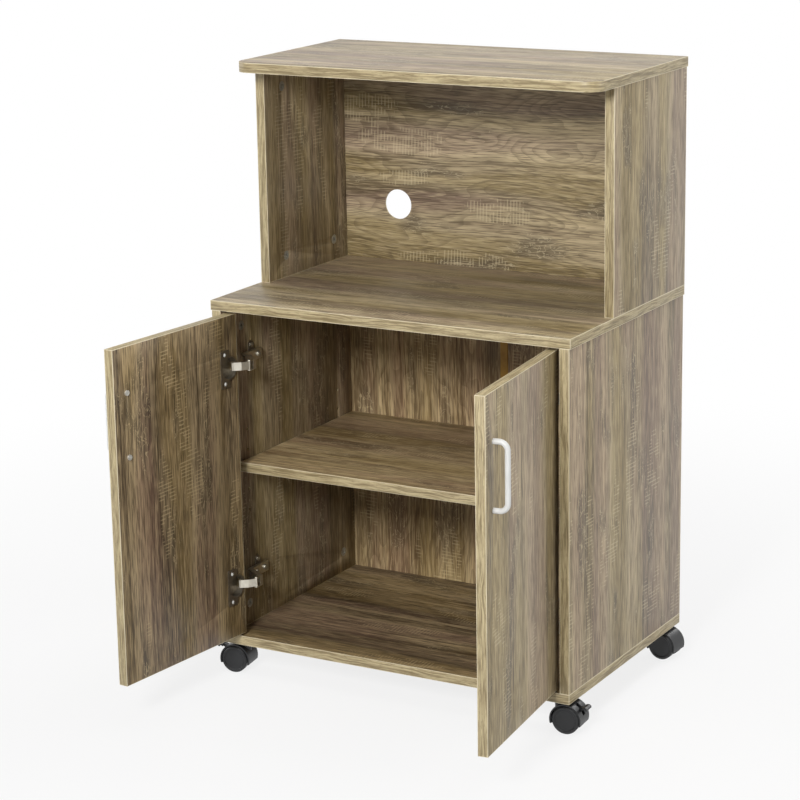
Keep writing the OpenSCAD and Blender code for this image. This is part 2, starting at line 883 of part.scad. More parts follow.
// A channel pressed from one sheet, with its crown away from the side panel. The crown
// stops short of the pin, so the two flanges end as ears with the links between them.
module hinge_arm(z) {
    difference() {
        translate([0, 0, z - channel_h / 2 - ear_t])
            linear_extrude(channel_h + 2 * ear_t) arm_outline();
        translate([0, 0, z - channel_h / 2])
            linear_extrude(channel_h)
                union() {
                    translate([-arm_t, 0]) arm_outline();
                    translate([arm_pin_u - 2 * ear_r, arm_pin_w - 2 * ear_r]) square(4 * ear_r);
                }
        translate([arm_pin_u, arm_pin_w, z - arm_h])
            cylinder(d = hinge_pin_d + 2 * bore_play, h = 2 * arm_h);
        translate([plate_t + plate_body_t, plate_setback + clamp_step, z])
            rod_x(clamp_d + 2 * screw_hole_play, 2 * arm_t);
        translate([plate_t + plate_body_t, plate_setback - set_step, z])
            rod_x(set_d + 2 * bore_play, 2 * arm_t);
    }
}

module hinge_arms() {
    color(NICKEL)
        for (side = [LEFT, RIGHT])
            on_side(side)
                at_opening()
                    for (z = hinge_heights)
                        hinge_arm(z);
}

// The pins that the links turn on, through both ears of each arm
module hinge_pins() {
    color(ZINC)
        for (side = [LEFT, RIGHT])
            on_side(side)
                at_opening()
                    for (z = hinge_heights)
                        translate([arm_pin_u, arm_pin_w, z - hinge_pin_l / 2])
                            cylinder(d = hinge_pin_d, h = hinge_pin_l);
}

// A cross-shaped mounting plate on the side panel, with a raised seat for the arm
module hinge_plate(z) {
    difference() {
        union() {
            translate([0, plate_setback - plate_wing_w / 2, z - plate_h / 2 + plate_wing_w / 2])
                cube([plate_t, plate_wing_w, plate_h - plate_wing_w]);
            for (s = [-1, 1])
                translate([0, plate_setback, z + s * (plate_h - plate_wing_w) / 2])
                    rod_x(plate_wing_w, plate_t);
            translate([0, plate_setback - plate_l / 2, z - arm_h / 2])
                cube([plate_t + plate_body_t, plate_l, arm_h]);
        }
        for (s = [-1, 1])
            translate([-EPS, plate_setback, z + s * plate_screw_pitch / 2])
                rod_x(plate_screw_d + 2 * screw_hole_play, plate_t + 2 * EPS);
        translate([plate_t + plate_body_t - clamp_bite - blind_gap, plate_setback + clamp_step, z])
            rod_x(clamp_d + 2 * bore_play, clamp_bite + blind_gap + EPS);
    }
}

module hinge_plates() {
    color(NICKEL)
        for (side = [LEFT, RIGHT])
            on_side(side)
                at_opening()
                    for (z = hinge_heights)
                        hinge_plate(z);
}

module plate_screws() {
    color(ZINC)
        for (side = [LEFT, RIGHT])
            on_side(side)
                at_opening()
                    for (z = hinge_heights)
                        for (s = [-1, 1])
                            translate([0, plate_setback, z + s * plate_screw_pitch / 2])
                                rotate([0, 0, -90])
                                    difference() {
                                        union() {
                                            translate([0, -screw_bite, 0])
                                                rod_y(plate_screw_d - 2 * screw_play,
                                                    screw_bite + plate_t + EPS);
                                            translate([0, plate_t, 0])
                                                rod_y(2 * plate_screw_d, plate_head_t);
                                        }
                                        cross_recess(plate_screw_d, plate_t + plate_head_t);
                                    }
}

// The clamping screw sinks into the plate, and the setting screw stands on it
module arm_screw_pair(z) {
    rotate([0, 0, -90]) {
        translate([-plate_setback - clamp_step, 0, z])
            difference() {
                union() {
                    translate([0, plate_t + plate_body_t - clamp_bite, 0])
                        rod_y(clamp_d, clamp_bite + arm_t + EPS);
                    translate([0, arm_crown_u, 0]) rod_y(clamp_head_d, clamp_head_t);
                }
                cross_recess(clamp_d, arm_crown_u + clamp_head_t);
            }
        translate([-plate_setback + set_step, 0, z])
            difference() {
                translate([0, plate_t + plate_body_t, 0]) rod_y(set_d, arm_t + set_proud);
                cross_recess(set_d * 0.7, arm_crown_u + set_proud);
            }
    }
}

module arm_screws() {
    color(ZINC)
        for (side = [LEFT, RIGHT])
            on_side(side)
                at_opening()
                    for (z = hinge_heights)
                        arm_screw_pair(z);
}

// ---------------------------------------------------------------- casters

// Threaded inserts in the underside of the base board
module caster_inserts() {
    color(ZINC)
        for (c = CASTERS)
            translate([c[0], c[1], z_base])
                difference() {
                    cylinder(d = insert_d, h = insert_l - insert_gap);
                    translate([0, 0, -EPS])
                        cylinder(d = stem_d + 2 * bore_play, h = insert_l);
                }
}

// The stem: thread in the insert, hexagon under the board, plain shank in the housing
module caster_stems() {
    color(NICKEL)
        for (c = CASTERS)
            translate([c[0], c[1], 0])
                union() {
                    translate([0, 0, hood_top + neck_h - stem_in_hood])
                        cylinder(d = stem_d, h = z_base + stem_in_base - hood_top - neck_h + stem_in_hood);
                    translate([0, 0, z_base - hex_h])
                        cylinder(d = stem_hex / cos(30), h = hex_h, $fn = 6);
                }
}

// Profile of the hood and web, seen from the side: u to the right, height upwards
module hood_disc(r) {
    translate([trail - hood_shift, axle_z]) circle(r = r);
}

// What the wheels leave open below: the hood ends a little under the axle
module hood_mouth() {
    translate([trail - hood_shift - 2 * hood_r, axle_z - 2 * hood_r - hood_low])
        square([4 * hood_r, 2 * hood_r]);
}

module housing(with_brake) {
    difference() {
        union() {
            // Hood over both wheels
            rotate([90, 0, 0])
                translate([0, 0, -wheel_out + hood_side_in])
                    linear_extrude(2 * (wheel_out - hood_side_in))
                        difference() {
                            hood_disc(hood_r);
                            hood_disc(hood_r - hood_t);
                            hood_mouth();
                        }
            // Web between the wheels, with the axle's boss at its foot
            rotate([90, 0, 0])
                translate([0, 0, -web_t / 2])
                    linear_extrude(web_t)
                        union() {
                            difference() {
                                hood_disc(hood_r - hood_t / 2);
                                translate([-hood_r, axle_z - 2 * hood_r]) square([4 * hood_r, 2 * hood_r]);
                            }
                            translate([trail, axle_z]) circle(d = 2 * axle_d);
                        }
            // Neck round the stem
            translate([0, 0, axle_z + hood_r / 2]) cylinder(d = neck_d, h = hood_r / 2 + neck_h);
        }
        translate([0, 0, hood_top + neck_h - stem_in_hood - blind_gap])
            cylinder(d = stem_d + 2 * stem_play, h = stem_in_hood + 2 * blind_gap);
        translate([trail, -web_t, axle_z]) rod_y(axle_d + 2 * bore_play, 2 * web_t);
        // The neck keeps clear of the wheels that turn beside the web
        for (s = [-1, 1])
            translate([trail, s > 0 ? web_t / 2 : -web_t / 2 - 2 * wheel_w, axle_z])
                rod_y(wheel_d + 2 * neck_clear, 2 * wheel_w);
        if (with_brake) {
            translate([lever_pin_u - lever_r - lever_slot, -lever_w / 2 - lever_play,
                    lever_pin_z - lever_r - lever_drop])
                cube([hood_r, lever_w + 2 * lever_play, hood_r]);
            translate([lever_pin_u, -web_t, lever_pin_z])
                rod_y(lever_pin_d + 2 * bore_play, 2 * web_t);
        }
    }
}

module axle() {
    translate([trail, -axle_half, axle_z]) rod_y(axle_d, 2 * axle_half);
}

// A wheel with a dished outer face, a hub inside and a blind bore for the axle
module wheel(s) {
    r = wheel_d / 2;
    face = wheel_w - wheel_dish;
    back = face - wheel_face_t;
    translate([trail, 0, axle_z])
        mirror([0, s > 0 ? 0 : 1, 0])
            translate([0, web_t / 2 + wheel_side_gap, 0])
                rotate([-90, 0, 0])
                    rotate_extrude($fn = 96)
                        polygon([
                            [axle_d / 2 + axle_play, 0], [axle_d, 0], [axle_d, back],
                            [r - wheel_rim, back], [r - wheel_rim, 0],
                            [r - wheel_bevel, 0], [r, wheel_bevel],
                            [r, wheel_w - wheel_round], [r - wheel_round, wheel_w],
                            [r - wheel_lip, wheel_w], [r - wheel_lip - wheel_dish, face],
                            [0, face], [0, back],
                            [axle_d / 2 + axle_play, back],
                        ]);
}

// The brake lever: a boss on its pin, an arm through the hood and a wide pad to step on
module brake() {
    difference() {
        union() {
            translate([lever_pin_u, -lever_w / 2, lever_pin_z]) rod_y(2 * lever_r, lever_w);
            translate([0, lever_w / 2, 0])
                rotate([90, 0, 0])
                    linear_extrude(lever_w)
                        polygon([
                            [lever_pin_u - 2, lever_pin_z + 3], [lever_pin_u + 2, lever_pin_z - 3],
                            [lever_tip_u - 5, lever_tip_z - 3], [lever_tip_u - 5, lever_tip_z],
                        ]);
            // The pad, grooved across its underside and turned down at its tip
            translate([0, lever_pad_w / 2, 0])
                rotate([90, 0, 0])
                    linear_extrude(lever_pad_w)
                        translate([lever_tip_u, lever_tip_z])
                            polygon([
                                [-9.5, -2.4], [-8, -4], [-4.5, -2.2], [-2, -4.6],
                                [0, -3.8], [-0.6, -0.8], [-3.2, 0.6], [-7.5, 0],
                            ]);
        }
        translate([lever_pin_u, -lever_w, lever_pin_z])
            rod_y(lever_pin_d + 2 * axle_play, 2 * lever_w);
    }
}

module brake_pin() {
    translate([lever_pin_u, -web_t / 2, lever_pin_z]) rod_y(lever_pin_d, web_t);
}

module front_left_housing() {
    color(BLACK) at_caster(FL) housing(true);
}

module front_right_housing() {
    color(BLACK) at_caster(FR) housing(true);
}

module rear_left_housing() {
    color(BLACK) at_caster(RL) housing(false);
}

module rear_right_housing() {
    color(BLACK) at_caster(RR) housing(false);
}

module front_left_axle() {
    color(ZINC) at_caster(FL) axle();
}

module front_right_axle() {
    color(ZINC) at_caster(FR) axle();
}

module rear_left_axle() {
    color(ZINC) at_caster(RL) axle();
}

module rear_right_axle() {
    color(ZINC) at_caster(RR) axle();
}

module front_left_wheel_a() {
    color(CHARCOAL) at_caster(FL) wheel(1);
}

module front_left_wheel_b() {
    color(CHARCOAL) at_caster(FL) wheel(-1);
}

module front_right_wheel_a() {
    color(CHARCOAL) at_caster(FR) wheel(1);
}

module front_right_wheel_b() {
    color(CHARCOAL) at_caster(FR) wheel(-1);
}

module rear_left_wheel_a() {
    color(CHARCOAL) at_caster(RL) wheel(1);
}

module rear_left_wheel_b() {
    color(CHARCOAL) at_caster(RL) wheel(-1);
}

module rear_right_wheel_a() {
    color(CHARCOAL) at_caster(RR) wheel(1);
}

module rear_right_wheel_b() {
    color(CHARCOAL) at_caster(RR) wheel(-1);
}

module front_left_brake() {
    color(BLACK) at_caster(FL) brake();
}

module front_right_brake() {
    color(BLACK) at_caster(FR) brake();
}

module front_left_brake_pin() {
    color(ZINC) at_caster(FL) brake_pin();
}

module front_right_brake_pin() {
    color(ZINC) at_caster(FR) brake_pin();
}

// ---------------------------------------------------------------- the assembly

base_board();
left_side();
right_side();
worktop();
shelf();
shelf_pins();
back_left();
back_right();
back_joiner();
bay_left_side();
bay_right_side();
bay_back();
top_board();
cam_locks();
cam_bolts();
dowels();
left_door();
left_handle();
left_handle_screws();
left_hinge_cups();
left_cup_screws();
left_hinge_links();
right_door();
right_handle();
right_handle_screws();
right_hinge_cups();
right_cup_screws();
right_hinge_links();
hinge_arms();
hinge_plates();
plate_screws();
arm_screws();
hinge_pins();
caster_inserts();
caster_stems();
front_left_housing();
front_left_axle();
front_left_wheel_a();
front_left_wheel_b();
front_left_brake();
front_left_brake_pin();
front_right_housing();
front_right_axle();
front_right_wheel_a();
front_right_wheel_b();
front_right_brake();
front_right_brake_pin();
rear_left_housing();
rear_left_axle();
rear_left_wheel_a();
rear_left_wheel_b();
rear_right_housing();
rear_right_axle();
rear_right_wheel_a();
rear_right_wheel_b();
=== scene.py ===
import json
import math

import bpy
from mathutils import Matrix, Vector


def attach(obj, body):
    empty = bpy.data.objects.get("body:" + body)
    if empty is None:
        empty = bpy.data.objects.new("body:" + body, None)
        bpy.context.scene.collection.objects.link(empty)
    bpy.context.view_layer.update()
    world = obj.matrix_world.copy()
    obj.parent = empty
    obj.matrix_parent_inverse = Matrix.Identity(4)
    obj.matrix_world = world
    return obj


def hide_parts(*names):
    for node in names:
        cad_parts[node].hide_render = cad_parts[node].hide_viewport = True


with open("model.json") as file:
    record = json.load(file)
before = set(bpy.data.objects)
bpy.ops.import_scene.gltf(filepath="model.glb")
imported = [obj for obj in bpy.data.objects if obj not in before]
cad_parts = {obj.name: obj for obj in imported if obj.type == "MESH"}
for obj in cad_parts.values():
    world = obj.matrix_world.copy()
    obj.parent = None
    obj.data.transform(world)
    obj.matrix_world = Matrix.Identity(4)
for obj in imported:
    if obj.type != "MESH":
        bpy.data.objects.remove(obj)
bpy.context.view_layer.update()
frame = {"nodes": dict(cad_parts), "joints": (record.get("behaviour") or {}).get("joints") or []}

# ------------------------------------------------------------------ base board
# The board that carries the cupboard: 15 mm chipboard faced with melamine paper printed as
# weathered oak. Like all the boards it is sawn to size, drilled, and banded on its edges
# with a paler strip of the same print, whose arrises are scraped to a fine ease.

MM = 0.001
FLAT_GRAIN_X = ((1, 0, 0), (0, 1, 0), (0, 0, 1))
BAND_EASE = 0.5 * MM
EASE_SEGMENTS = 2
SAME_POINT = 0.01 * MM
SAME_PLANE = math.radians(1)
SHARP_ARRIS = math.radians(40)
SMOOTH_BEND = math.radians(35)
RESIN_IOR = 1.5


def linear(hex_colour):
    """An sRGB hex colour as the linear colour that a shader socket takes."""
    channels = [int(hex_colour[i:i + 2], 16) / 255 for i in (1, 3, 5)]
    return [c / 12.92 if c <= 0.04045 else ((c + 0.055) / 1.055) ** 2.4 for c in channels] + [1.0]


def add_node(tree, kind, inputs=None, **settings):
    """Adds a shader node with its settings, links or fills its inputs, and gives its outputs."""
    made = tree.nodes.new("ShaderNode" + kind)
    for name, value in settings.items():
        setattr(made, name, value)
    for socket, value in (inputs or {}).items():
        if isinstance(value, bpy.types.NodeSocket):
            tree.links.new(value, made.inputs[socket])
        else:
            made.inputs[socket].default_value = value
    return made.outputs


def start_material(name):
    """A new material, its node tree and its shader."""
    made = bpy.data.materials.new(name)
    made.use_nodes = True
    return made, made.node_tree, made.node_tree.nodes["Principled BSDF"]


def per(length_mm):
    """How often a pattern of that length repeats in a metre."""
    return 1.0 / (length_mm * MM)


def eased_copy(node, name, ease):
    """The piece that stands for a CAD node: its triangles merged and its sharp edges rounded."""
    bpy.ops.object.select_all(action="DESELECT")
    piece = bpy.data.objects.new(name, frame["nodes"][node].data.copy())
    bpy.context.collection.objects.link(piece)
    bpy.context.view_layer.objects.active = piece
    piece.select_set(True)
    bpy.ops.object.mode_set(mode="EDIT")
    bpy.ops.mesh.select_all(action="SELECT")
    bpy.ops.mesh.remove_doubles(threshold=SAME_POINT)
    bpy.ops.mesh.dissolve_limited(angle_limit=SAME_PLANE)
    bpy.ops.object.mode_set(mode="OBJECT")
    rounding = piece.modifiers.new("ease", "BEVEL")
    rounding.width = ease
    rounding.segments = EASE_SEGMENTS
    rounding.limit_method = "ANGLE"
    rounding.angle_limit = SHARP_ARRIS
    bpy.ops.object.modifier_apply(modifier="ease")
    bpy.ops.object.shade_smooth_by_angle(angle=SMOOTH_BEND)
    piece.data.materials.clear()
    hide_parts(node)
    return piece


# Three tones of the one print. Most boards are WEATHERED. A darker copy of it is painted shade
# for the base board and the left door, and a lighter, warmer copy is painted light for the
# lower backs and the shelf. BAND is the print of the edge band, ARRIS_PALE_AND_HIGHLIGHT a pale
# line along its arrises, partly its scraped corner and partly a painted highlight, and HARDBOARD
# the raw rear of the thin backs.
WEATHERED = {"dark": "#52432f", "mid": "#998869", "light": "#cdbb97", "olive": "#98854f",
             "rosy": "#9a8074", "smoke": "#594f43", "pale": "#dacca8"}
PAINTED_SHADE_TONES = {"dark": "#35281a", "mid": "#826e54", "light": "#bda780", "olive": "#836c38",
          "rosy": "#86685b", "smoke": "#3d342a", "pale": "#cdb98e"}
TAWNY_PAINTED_LIGHT = {"dark": "#584329", "mid": "#a88f67", "light": "#d6c094", "olive": "#a58d56",
         "rosy": "#a9886f", "smoke": "#63523e", "pale": "#decba0"}
BAND = {"mid": "#a69673", "dark": "#776848", "light": "#c6b790"}
ARRIS_PALE_AND_HIGHLIGHT = "#e6dbbd"
HARDBOARD = {"dark": "#6c5136", "light": "#8a6a45"}
# Boards have a plain figure and the backs a flamed one: how far the grain wanders and how
# long the arches of its growth rings are, in mm, and the ink shares of rings and streaks.
PLAIN = {"wander": 6, "arch": 700, "rings": 0.16, "streaks": 0.60}
FLAMED = {"wander": 24, "arch": 260, "rings": 0.34, "streaks": 0.50}
RING_CONTOURS = 19.0
SAW_PITCH = 5.5
SAW_LINE = 40
SAW_SLANT = math.radians(-15)
# Blender's wave texture repeats after this length at scale 1
WAVE_REPEAT = 0.314
BAND_WAVINESS = 9 * MM
# Where the pale arris line, partly a painted highlight, fades out and where it is full
ARRIS_FADE = 1.0 * MM
ARRIS_FULL = 0.4 * MM
# Where the surface faces less than this far along the board's thickness, it is an edge
EDGE_FACING = 0.6


def oak_print(name, piece, rows, tones, seed, sawn=PLAIN, raw_rear=False):
    """Paper printed as oak under melamine resin: satin, with the grain pressed into it.

    rows are the directions of the grain, across it, and of the thickness. The print has broad
    bands of tone and hue, streaks, short pores, smoky places with pale curls, and stacks of
    slanted saw marks. Real pores are 0.3 mm wide, drawn here at 1.5 mm, or they wouldn't show.
    """
    made, tree, shader = start_material(name)
    corners = [Matrix(rows) @ v.co for v in piece.data.vertices]
    low = [min(c[i] for c in corners) for i in range(3)]
    high = [max(c[i] for c in corners) for i in range(3)]
    turn = Matrix(rows).to_euler()
    where = add_node(tree, "TexCoord")
    own = add_node(tree, "Mapping", {
        "Vector": where["Object"], "Rotation": turn,
        "Location": [-(a + b) / 2 for a, b in zip(low, high)]})[0]
    facing = add_node(tree, "Mapping", {
        "Vector": where["Normal"], "Rotation": turn}, vector_type="VECTOR")[0]
    thickness = add_node(tree, "SeparateXYZ", {0: facing})[2]
    place = add_node(tree, "SeparateXYZ", {0: own})

    def figure(length, width, shift, detail=2.0, at=own, distortion=0.0):
        """Cloudy figure drawn out along the grain, sized in mm and shifted off the others."""
        # The seed takes each board to a place of its own in the figure
        scaled = add_node(tree, "Mapping", {
            "Vector": at, "Scale": (per(length), per(width), per(width)),
            "Location": (seed * 1.7 + shift, seed * 0.9, shift)})[0]
        return add_node(tree, "TexNoise", {
            "Vector": scaled, "Scale": 1.0, "Detail": detail, "Roughness": 0.58,
            "Distortion": distortion})

    def inked(colour, *layers):
        """Prints layers of ink on a colour: figure, where it starts and is full, share, tone."""
        for print_of, start, full, share, tone in layers:
            ink = add_node(tree, "MapRange", {
                "Value": print_of, "From Min": start, "From Max": full, "To Min": 0.0,
                "To Max": share}, interpolation_type="SMOOTHSTEP")[0]
            colour = add_node(tree, "Mix", {0: ink, 6: colour, 7: linear(tone)},
                              data_type="RGBA")[2]
        return colour

    def together(*parts):
        """Where several figures meet: each with where it starts and is full."""
        share = 1.0
        for print_of, start, full in parts:
            part = add_node(tree, "MapRange", {
                "Value": print_of, "From Min": start, "From Max": full},
                interpolation_type="SMOOTHSTEP")[0]
            share = add_node(tree, "Math", {0: part, 1: share}, operation="MULTIPLY")[0]
        return share

    # The grain wanders sideways in long waves, and most in the flamed boards
    bent = add_node(tree, "VectorMath", {
        0: figure(300, 110, 3.1, 1.0)[1], 1: (0, sawn["wander"] * MM, 0), 2: own},
        operation="MULTIPLY_ADD")[0]
    bands = figure(1500, 48, 7.3, 2.0, bent)[0]
    hue = figure(800, 70, 24.4, 1.0, bent)[0]
    patches = figure(240, 70, 33.8, 1.0, bent)[0]
    streaks = figure(1100, 12, 5.9, 2.0, bent)[0]
    fine = figure(360, 2.8, 2.2, 2.0, bent)[0]
    pores = figure(30, 1.5, 9.4, 1.0, bent)[0]
    # Growth rings are the contours of a smooth figure, dark on one side and faded on the other
    arches = figure(sawn["arch"], 60, 11.7, 1.0, bent)[0]
    growth = add_node(tree, "Math", {0: arches, 1: RING_CONTOURS}, operation="MULTIPLY")[0]
    rings = add_node(tree, "Math", {0: growth}, operation="FRACT")[0]
    smoke = figure(170, 50, 27.9, 2.0)[0]
    # Curls are thin lines where a twisted figure crosses its middle value
    twisted = figure(30, 13, 29.2, 1.0, distortion=1.8)[0]
    curl = add_node(tree, "Math", {0: twisted, 1: 0.5}, operation="SUBTRACT")[0]
    curl = add_node(tree, "Math", {0: curl}, operation="ABSOLUTE")[0]
    curls = together((curl, 0.04, 0.0), (smoke, 0.54, 0.64))
    # Saw marks stand in stacks, one line above the other, and are worn away in places
    saw = add_node(tree, "Mapping", {
        "Vector": own, "Rotation": (0, 0, SAW_SLANT),
        "Scale": (per(SAW_PITCH), per(SAW_LINE), per(SAW_LINE))})[0]
    saw = add_node(tree, "TexWave", {
        "Vector": saw, "Scale": WAVE_REPEAT, "Distortion": 4.0, "Detail": 1.0,
        "Detail Scale": 0.5})[1]
    stacks = figure(140, 42, 12.5, 0.0)[0]
    wear = figure(16, 14, 15.7, 1.0)[0]
    cuts = together((stacks, 0.62, 0.70), (saw, 0.60, 0.95), (wear, 0.40, 0.56))
    face = inked(
        linear(tones["mid"]),
        (streaks, 0.50, 0.64, sawn["streaks"], tones["dark"]),
        (streaks, 0.48, 0.34, sawn["streaks"], tones["light"]),
        (fine, 0.50, 0.62, 0.65, tones["dark"]), (fine, 0.48, 0.36, 0.60, tones["light"]),
        (bands, 0.50, 0.58, 0.42, tones["light"]), (bands, 0.50, 0.42, 0.45, tones["dark"]),
        (patches, 0.50, 0.62, 0.22, tones["light"]), (patches, 0.50, 0.38, 0.28, tones["dark"]),
        (hue, 0.50, 0.60, 0.40, tones["olive"]), (hue, 0.50, 0.40, 0.40, tones["rosy"]),
        (smoke, 0.55, 0.68, 0.60, tones["smoke"]), (curls, 0.1, 0.9, 0.50, tones["pale"]),
        (pores, 0.53, 0.64, 0.60, tones["dark"]), (pores, 0.46, 0.34, 0.45, tones["light"]),
        (rings, 0.45, 1.0, sawn["rings"], tones["dark"]), (cuts, 0.0, 0.8, 0.36, tones["pale"]))
    # The edge band's print runs along the edge, in wavy lines a millimetre or two apart
    wavy = figure(60, 60, 21.3, 1.0)[1]
    along = add_node(tree, "VectorMath", {0: wavy, 1: (0, 0, BAND_WAVINESS), 2: own},
                     operation="MULTIPLY_ADD")[0]
    lines, dashes = (add_node(tree, "TexNoise", {
        "Vector": add_node(tree, "Mapping", {
            "Vector": along, "Scale": (per(length), per(length), per(width)),
            "Location": (seed, 0, seed)})[0],
        "Scale": 1.0, "Detail": 2.0})[0] for length, width in ((46, 2.2), (9, 0.9)))
    band = inked(
        linear(BAND["mid"]),
        (lines, 0.48, 0.64, 0.70, BAND["light"]), (lines, 0.50, 0.36, 0.75, BAND["dark"]),
        (dashes, 0.55, 0.66, 0.55, BAND["dark"]))
    on_edge = add_node(tree, "Math", {0: thickness}, operation="ABSOLUTE")[0]
    on_edge = add_node(tree, "Math", {0: on_edge, 1: EDGE_FACING}, operation="LESS_THAN")[0]
    colour = add_node(tree, "Mix", {0: on_edge, 6: face, 7: band}, data_type="RGBA")[2]
    if raw_rear:
        # Raw hardboard: brown pressed fibre, mottled. Real bundles of fibres are 1 or 2 mm
        # across, drawn here at 6 mm, or they wouldn't show
        fibres = figure(6, 6, 30.1, 4.0)[0]
        raw = inked(linear(HARDBOARD["dark"]), (fibres, 0.35, 0.65, 1.0, HARDBOARD["light"]))
        rear = add_node(tree, "Math", {0: thickness, 1: EDGE_FACING},
                        operation="GREATER_THAN")[0]
        colour = add_node(tree, "Mix", {0: rear, 6: colour, 7: raw}, data_type="RGBA")[2]
    else:
        # Distance to the nearest arris: the middle one of the distances to the three faces
        gaps = []
        for i, (a, b) in enumerate(zip(low, high)):
            inward = add_node(tree, "Math", {0: place[i]}, operation="ABSOLUTE")[0]
            gaps.append(add_node(tree, "Math", {0: (b - a) / 2, 1: inward},
                                 operation="SUBTRACT")[0])
        nearer = add_node(tree, "Math", {0: gaps[0], 1: gaps[1]}, operation="MINIMUM")[0]
        farther = add_node(tree, "Math", {0: gaps[0], 1: gaps[1]}, operation="MAXIMUM")[0]
        farther = add_node(tree, "Math", {0: farther, 1: gaps[2]}, operation="MINIMUM")[0]
        nearest = add_node(tree, "Math", {0: nearer, 1: farther}, operation="MAXIMUM")[0]
        # A pale line along every arris: partly the band's scraped corner, partly a painted
        # highlight
        colour = inked(colour, (nearest, ARRIS_FADE, ARRIS_FULL, 0.80, ARRIS_PALE_AND_HIGHLIGHT))
    tree.links.new(colour, shader.inputs["Base Color"])
    # The streaks change the sheen a little, and grain and pores are pressed into the paper
    rough = add_node(tree, "MapRange", {
        "Value": streaks, "From Min": 0.3, "From Max": 0.7, "To Min": 0.50, "To Max": 0.40})[0]
    tree.links.new(rough, shader.inputs["Roughness"])
    relief = add_node(tree, "Math", {0: fine, 1: pores}, operation="ADD")[0]
    bump = add_node(tree, "Bump", {"Height": relief, "Strength": 0.25, "Distance": 0.12 * MM})[0]
    tree.links.new(bump, shader.inputs["Normal"])
    shader.inputs["IOR"].default_value = RESIN_IOR
    piece.data.materials.append(made)


base_board = eased_copy("base_board", "base_board_banded", BAND_EASE)
# The base board takes the darker copy of the print: painted shade
oak_print("oak_melamine_base", base_board, FLAT_GRAIN_X, PAINTED_SHADE_TONES, 1.3)
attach(base_board, "cabinet")

# ------------------------------------------------------------------ lower side panels
# Two uprights of the same board with the grain upright, drilled on the inside for the cam
# locks, the shelf pins and the hinge plates. Dowels and cam bolts hold them to the base.

UPRIGHT_SIDE = ((0, 0, 1), (0, 1, 0), (-1, 0, 0))

for seed, side in ((4.2, "left"), (8.6, "right")):
    panel = eased_copy(f"{side}_side", f"{side}_side_banded", BAND_EASE)
    oak_print(f"oak_melamine_{side}_side", panel, UPRIGHT_SIDE, WEATHERED, seed)
    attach(panel, "cabinet")

# ------------------------------------------------------------------ lower back
# Two thin hardboard panels, printed on the front and raw brown behind, slid into grooves.
# A plastic strip with an H section joins them down the middle.

UPRIGHT_BACK = ((0, 0, 1), (1, 0, 0), (0, 1, 0))

for seed, side in ((11.9, "left"), (17.4, "right")):
    panel = frame["nodes"][f"back_{side}"]
    panel.data.materials.clear()
    # The lower backs take the lighter, warmer copy of the print: painted light inside the cupboard
    oak_print(f"oak_paper_back_{side}", panel, UPRIGHT_BACK, TAWNY_PAINTED_LIGHT, seed, FLAMED, raw_rear=True)


def moulded(name, colour, scuffed, roughness, grit_mm, relief_mm):
    """Moulded plastic: an even colour with faint clouding, scuffs and a fine moulded grit.

    Real grit is finer than 0.1 mm, drawn here at about 1 mm, or it wouldn't show.
    """
    made, tree, shader = start_material(name)
    where = add_node(tree, "TexCoord")["Object"]
    cloud = add_node(tree, "TexNoise", {"Vector": where, "Scale": per(14), "Detail": 4.0})[0]
    grit = add_node(tree, "TexNoise", {
        "Vector": where, "Scale": per(grit_mm), "Detail": 2.0})[0]
    share = add_node(tree, "MapRange", {
        "Value": cloud, "From Min": 0.40, "From Max": 0.75, "To Min": 0.0, "To Max": 1.0})[0]
    tint = add_node(tree, "Mix", {0: share, 6: linear(colour), 7: linear(scuffed)},
                    data_type="RGBA")[2]
    rough = add_node(tree, "MapRange", {
        "Value": cloud, "From Min": 0.3, "From Max": 0.7,
        "To Min": roughness - 0.05, "To Max": roughness + 0.08})[0]
    bump = add_node(tree, "Bump", {
        "Height": grit, "Strength": 0.4, "Distance": relief_mm * MM})[0]
    tree.links.new(tint, shader.inputs["Base Color"])
    tree.links.new(rough, shader.inputs["Roughness"])
    tree.links.new(bump, shader.inputs["Normal"])
    shader.inputs["IOR"].default_value = RESIN_IOR
    return made


joiner = frame["nodes"]["back_joiner"]
joiner.data.materials.clear()
# Drawn vinyl: yellow-brown and dull, with a soft light along the strip
vinyl = moulded("extruded_vinyl_strip", "#a67d2e", "#b8903f", 0.42, 1.2, 0.03)
joiner.data.materials.append(vinyl)

# ------------------------------------------------------------------ worktop
# The board between cupboard and bay, with its grain along the front. An oven stands on it.

worktop = eased_copy("worktop", "worktop_banded", BAND_EASE)
oak_print("oak_melamine_worktop", worktop, FLAT_GRAIN_X, WEATHERED, 21.7)
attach(worktop, "cabinet")

# ------------------------------------------------------------------ bay and top board
# Two shallower uprights, a one-piece hardboard back with a sawn cable hole, and a top board
# that reaches out in front and has its two front corners rounded before banding.

FLAT_BACK = ((1, 0, 0), (0, 0, -1), (0, 1, 0))

for seed, side in ((25.1, "left"), (29.8, "right")):
    panel = eased_copy(f"bay_{side}_side", f"bay_{side}_side_banded", BAND_EASE)
    oak_print(f"oak_melamine_bay_{side}", panel, UPRIGHT_SIDE, WEATHERED, seed)
    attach(panel, "cabinet")

bay_back = frame["nodes"]["bay_back"]
bay_back.data.materials.clear()
oak_print("oak_paper_bay_back", bay_back, FLAT_BACK, WEATHERED, 33.3, FLAMED, raw_rear=True)

top_board = eased_copy("top_board", "top_board_banded", BAND_EASE)
oak_print("oak_melamine_top", top_board, FLAT_GRAIN_X, WEATHERED, 37.2)
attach(top_board, "cabinet")

# ------------------------------------------------------------------ cam locks, bolts and dowels
# Die-cast zinc cams turn in the side panels and pull on steel bolts in the flat boards.
# Fluted beech dowels beside them take the shear.


